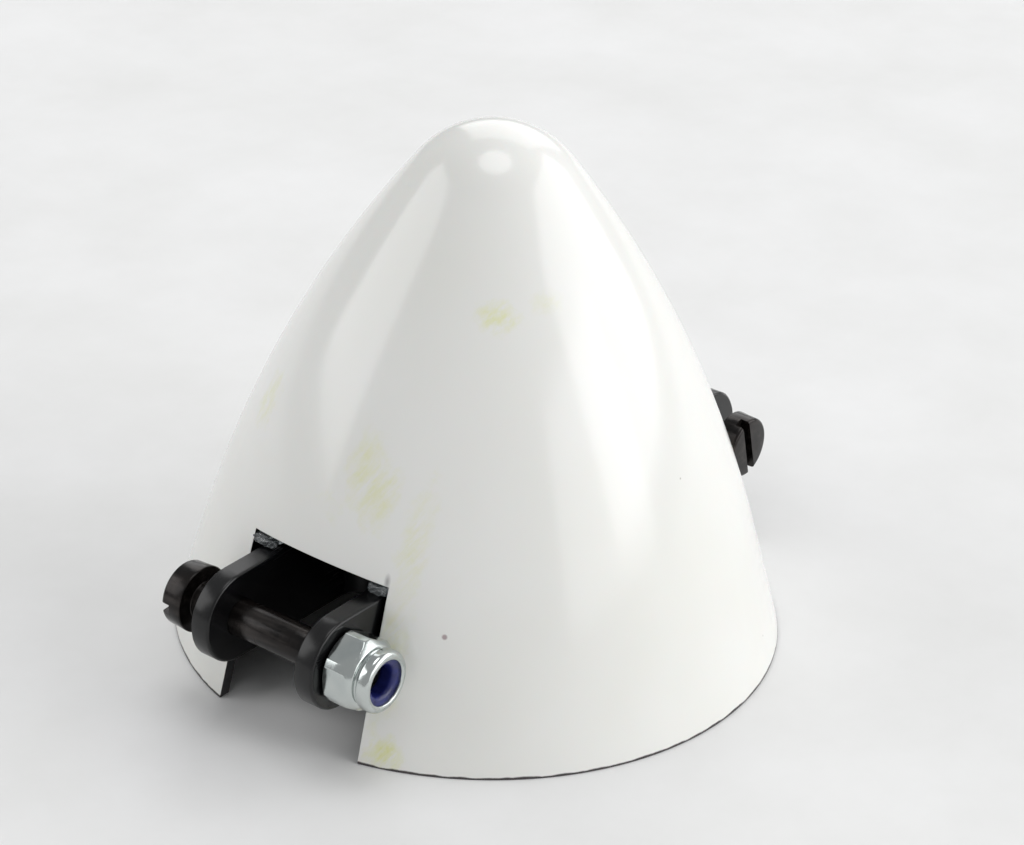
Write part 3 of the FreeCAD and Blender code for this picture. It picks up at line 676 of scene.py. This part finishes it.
zinc = make_zinc()
print("zinc plate:", len(zinc.node_tree.nodes), "nodes")

# %% [markdown]
# ### The lock nut
#
# A hexagon with a collar rolled in over a nylon ring.  The collar stands on a narrow
# neck, and its lip turns inwards.  Cones at both ends of the hexagon leave its scallops.

# %% Lock nuts
FLATS = 5.5                  # the nut's width across flats
ROUND = 99                   # a width that no point reaches, for rows that stay round
SEAT, LIP = 2.2, 3.7         # the nylon ring lies between these heights in the nut


def make_nut(end):
    """One closed profile: bore, bearing face, hexagon, neck, rolled collar, pocket.
    Along each of the hexagon's cones the height goes by a power of the way along."""
    corner = np.linspace(0, 1, 14)
    bottom = [(2.55, 0.0)] + [(2.6 + 0.4 * t, 0.22 * t ** 1.5) for t in corner[1:]]
    top = [(3.0 - 0.46 * t, 2.0 + 0.6 * t ** 0.8) for t in corner]
    neck = [(2.44, 2.65), (2.30, 2.70), (2.22, 2.80), (2.26, 2.91)]
    collar = (arc(2.30, 3.16, 0.22, -50, 0, 5) + arc(2.07, 3.55, 0.45, 0, 100, 10)
              + arc(1.97, 3.85, 0.13, 115, 200, 6) + [(1.86, LIP)])
    pocket = [(2.02, LIP), (2.02, SEAT), (1.52, SEAT), (1.52, 0.3)]
    rows = [(point, ROUND) for point in [(1.52, 0.3), (1.80, 0.0)]]
    rows += [(point, FLATS) for point in bottom + [(3.0, 1.0)] + top]
    rows += [(point, ROUND) for point in neck + collar + pocket]
    profile, flats = zip(*rows)
    grid = at_pivot(turned(profile, 288, flats), end, "nut")
    piece(f"lock_nut_{end}_zinc", [(grid, 0)], [zinc], f"pivot_{end}",
          f"lock_nut_{end}", crease=28.0)


for end in pivot:
    make_nut(end)

# %% [markdown]
# ## Nylon ring
#
# The blue ring in the collar grips the thread.  Nylon is a little cloudy, so light gets
# a short way in, and the moulded bore has a soft rounded mouth.

# %% Nylon rings
def make_nylon():
    """Blue nylon, slightly translucent, with a fine moulded grain."""
    made, tree, place = new_material("nylon_blue")
    grain = node(tree, "TexNoise", {"Vector": place, "Scale": 1500.0, "Detail": 3.0})
    shade = node(tree, "MapRange", {"Value": grain, "From Min": 0.35, "From Max": 0.7})
    blue = node(tree, "Mix", {0: shade, 6: srgb("#14184F"), 7: srgb("#20276C")}, 2,
                data_type="RGBA")
    gloss = node(tree, "MapRange", {"Value": grain, "From Min": 0.3, "From Max": 0.7,
                                    "To Min": 0.25, "To Max": 0.42})
    moulded = node(tree, "Bump", {"Height": grain, "Distance": 0.006 * MM})
    shader = node(tree, "BsdfPrincipled", {
        "Base Color": blue, "Roughness": gloss, "IOR": 1.53, "Normal": moulded,
        "Subsurface Weight": 0.05, "Subsurface Scale": 0.3 * MM})
    node(tree, "OutputMaterial", {"Surface": shader})
    return made


nylon = make_nylon()
print("nylon:", len(nylon.node_tree.nodes), "nodes")


def make_ring(end):
    """A ring with a flat seat and rounded mouths to its bore."""
    profile = [(1.45, SEAT), (2.0, SEAT), (2.0, LIP)] + arc(1.70, 3.25, 0.45, 90, 180, 10)
    profile += [(1.25, 2.6)] + arc(1.45, 2.4, 0.2, 180, 270, 6)
    grid = at_pivot(turned(profile, 96), end, "nut")
    piece(f"nylon_ring_{end}_blue", [(grid, 0)], [nylon], f"pivot_{end}",
          f"nylon_ring_{end}")


for end in pivot:
    make_ring(end)

# %% [markdown]
# ## Grub screws
#
# Two M3 set screws in the hub clamp the motor shaft.  Each is a threaded rod with a
# hexagon socket at its outer end and a cup at its point.

# %% Grub screws
def make_grub(end):
    """Cup point, thread, flat end and a six-sided socket, laid along X.  The socket's
    wall is all flats, so its rows start from a radius that lies outside them."""
    cup = turned([(0, 0.38), (0.45, 0.2), (0.75, 0), (1.0, 0), (M3, 0.5)], 64)
    rows = [((M3, 5.8), ROUND), ((1.35, 6.0), ROUND), ((1.0, 6.0), ROUND), ((0.98, 6.0), 1.6),
            ((9, 5.9), 1.5), ((9, 4.0), 1.5), ((0.4, 3.8), ROUND), ((0, 3.75), ROUND)]
    socket = turned([row[0] for row in rows], 64, [row[1] for row in rows])
    low, high = box_of(f"grub_screw_{end}")
    side = pivot[end]["side"]
    base = low[0] if side > 0 else high[0]
    grids = []
    for grid in (cup, thread_grid(M3, 0.5, 5.8), socket):
        laid = np.stack([base + side * grid[..., 2], grid[..., 1],
                         (low[2] + high[2]) / 2 - side * grid[..., 0]], axis=-1)
        grids.append((laid, 0))
    piece(f"grub_screw_{end}_threaded", grids, [black_oxide], "spinner",
          f"grub_screw_{end}")


for end in pivot:
    make_grub(end)

# %% [markdown]
# ## Cast resin
#
# Over each ear the window's corner is filled with clear resin, the same that bonds the
# yoke in.  It cured in small glossy lumps, a little grey with dust.  A lump is a ball
# whose coordinates are squared off towards a box, with low waves over it.

# %% Resin beads
def make_resin():
    """Clear resin, glossy, greyed by dust."""
    made, tree, place = new_material("resin_clear")
    cloud = node(tree, "TexNoise", {"Vector": place, "Scale": 1300.0, "Detail": 4.0})
    dusty = node(tree, "MapRange", {"Value": cloud, "From Min": 0.35, "From Max": 0.7})
    grey = node(tree, "Mix", {0: dusty, 6: srgb("#DCE2E4"), 7: srgb("#7D8588")}, 2,
                data_type="RGBA")
    gloss = node(tree, "MapRange", {"Value": cloud, "From Min": 0.3, "From Max": 0.8,
                                    "To Min": 0.03, "To Max": 0.16})
    lumps = node(tree, "Bump", {"Height": cloud, "Distance": 0.10 * MM})
    shader = node(tree, "BsdfPrincipled", {
        "Base Color": grey, "Roughness": gloss, "IOR": 1.56, "Normal": lumps,
        "Transmission Weight": 0.85})
    node(tree, "OutputMaterial", {"Surface": shader})
    return made


resin = make_resin()
print("resin:", len(resin.node_tree.nodes), "nodes")


def make_bead(node_name):
    """A squared-off ball: each coordinate of a ball's point keeps its sign and takes a
    power of its size under one, which pushes it out towards the box's faces.  Two sines
    of the ball's coordinates take up to a fifth off in low waves."""
    low, high = box_of(node_name)
    up = np.linspace(-math.pi / 2, math.pi / 2, 33)[:, None]
    about = np.linspace(0, 2 * math.pi, 65)[None, :]
    ball = np.stack([np.cos(up) * np.cos(about), np.cos(up) * np.sin(about),
                     np.sin(up) + 0 * about], axis=-1)
    squared = np.sign(ball) * np.abs(ball) ** 0.55
    squared /= np.abs(squared).max(axis=(0, 1))
    waves = 1 - 0.09 * (1 + np.sin(7 * ball[..., :1] + 5 * ball[..., 1:2] + 3 * low[1]))
    waves -= 0.05 * (1 + np.sin(13 * ball[..., 1:2] - 9 * ball[..., 2:] + 2 * low[1]))
    points = (low + high) / 2 + squared * waves * (high - low) / 2
    piece(f"{node_name}_cast", [(points, 0)], [resin], "spinner", node_name,
          weld=0.001, crease=60.0)


for end in pivot:
    for ear in ("nut", "head"):
        make_bead(f"resin_bead_{end}_{ear}")

# %% [markdown]
# ## The table, the light and the camera
#
# The spinner stands on its rim on a pale matt table.  Two wide soft lights on the
# right, one a little behind, make that flank the brightest and throw the forks' shadow
# to the left.  A small round one overhead gives the nose its highlight, pale walls lift
# the left, and the room's even light fills the rest.  The camera is a long lens held a
# third of the way up from level.

# %% Table
def make_table():
    """Pale matt board with a faint mottle."""
    made, tree, place = new_material("table_board")
    mottle = node(tree, "TexNoise", {"Vector": place, "Scale": 45.0, "Detail": 5.0,
                                     "Roughness": 0.6})
    shade = node(tree, "MapRange", {"Value": mottle, "From Min": 0.3, "From Max": 0.7})
    pale = node(tree, "Mix", {0: shade, 6: srgb("#E1E1E0"), 7: srgb("#E9E9E9")}, 2,
                data_type="RGBA")
    shader = node(tree, "BsdfPrincipled", {"Base Color": pale, "Roughness": 0.85})
    node(tree, "OutputMaterial", {"Surface": shader})
    return made


table_mesh = bpy.data.meshes.new("table")
step = np.linspace(-1.5, 1.5, 9)    # three metres each way, in eight steps
flat = np.stack(np.meshgrid(step, step) + [0 * step[:, None] * step], axis=-1)
table_mesh.from_pydata(flat.reshape(-1, 3), [], quads(9, 9))
table = bpy.data.objects.new("table", table_mesh)
bpy.context.collection.objects.link(table)
table_mesh.materials.append(make_table())

# %% Light
def area_light(name, place, target, size, power, shape="RECTANGLE"):
    """A flat soft light aimed at a point: places and sizes in metres, power in watts."""
    lamp = bpy.data.lights.new(name, "AREA")
    lamp.shape = shape
    lamp.size, lamp.size_y = size
    lamp.energy = power
    made = bpy.data.objects.new(name, lamp)
    bpy.context.collection.objects.link(made)
    made.location = place
    towards = Vector(place) - Vector(target)
    made.rotation_euler = towards.to_track_quat("Z", "Y").to_euler()
    print(f"{name}: {power} W")


area_light("window_right", (-0.96, 1.15, 0.79), (0, 0, 0.05), (2.2, 1.28), 17.5)
area_light("window_side", (-0.145, 1.5, 0.427), (0, 0, 0.04), (1.33, 0.775), 4.8)
area_light("wall_left", (0.748, -1.078, 0.644), (0, 0, 0.05), (0.99, 0.88), 5.0)
area_light("ceiling", (0, 0, 0.90), (0, 0, 0.02), (0.48, 0.48), 1.42, "DISK")
area_light("wall_back", (-0.99, -0.55, 0.746), (0, 0, 0.02), (1.1, 1.1), 4.7)
world = bpy.data.worlds.new("room")
bpy.context.scene.world = world
world.use_nodes = True
world.node_tree.nodes.clear()
sky = node(world.node_tree, "Background", {"Color": srgb("#F4F5F6"), "Strength": 0.48})
node(world.node_tree, "OutputWorld", {"Surface": sky})

# %% Camera
lens = bpy.data.cameras.new("camera")
lens.sensor_width = 36.0
lens.lens = 104.2            # focal length, mm
lens.clip_start = 0.01
camera = bpy.data.objects.new("camera", lens)
bpy.context.collection.objects.link(camera)
camera.location = (0.16964, 0.12595, 0.12794)    # metres
camera.rotation_euler = [math.radians(v) for v in (62.405, -2.331, 127.217)]
bpy.context.scene.camera = camera
bpy.context.scene.view_settings.view_transform = "Standard"


bpy.context.view_layer.update()
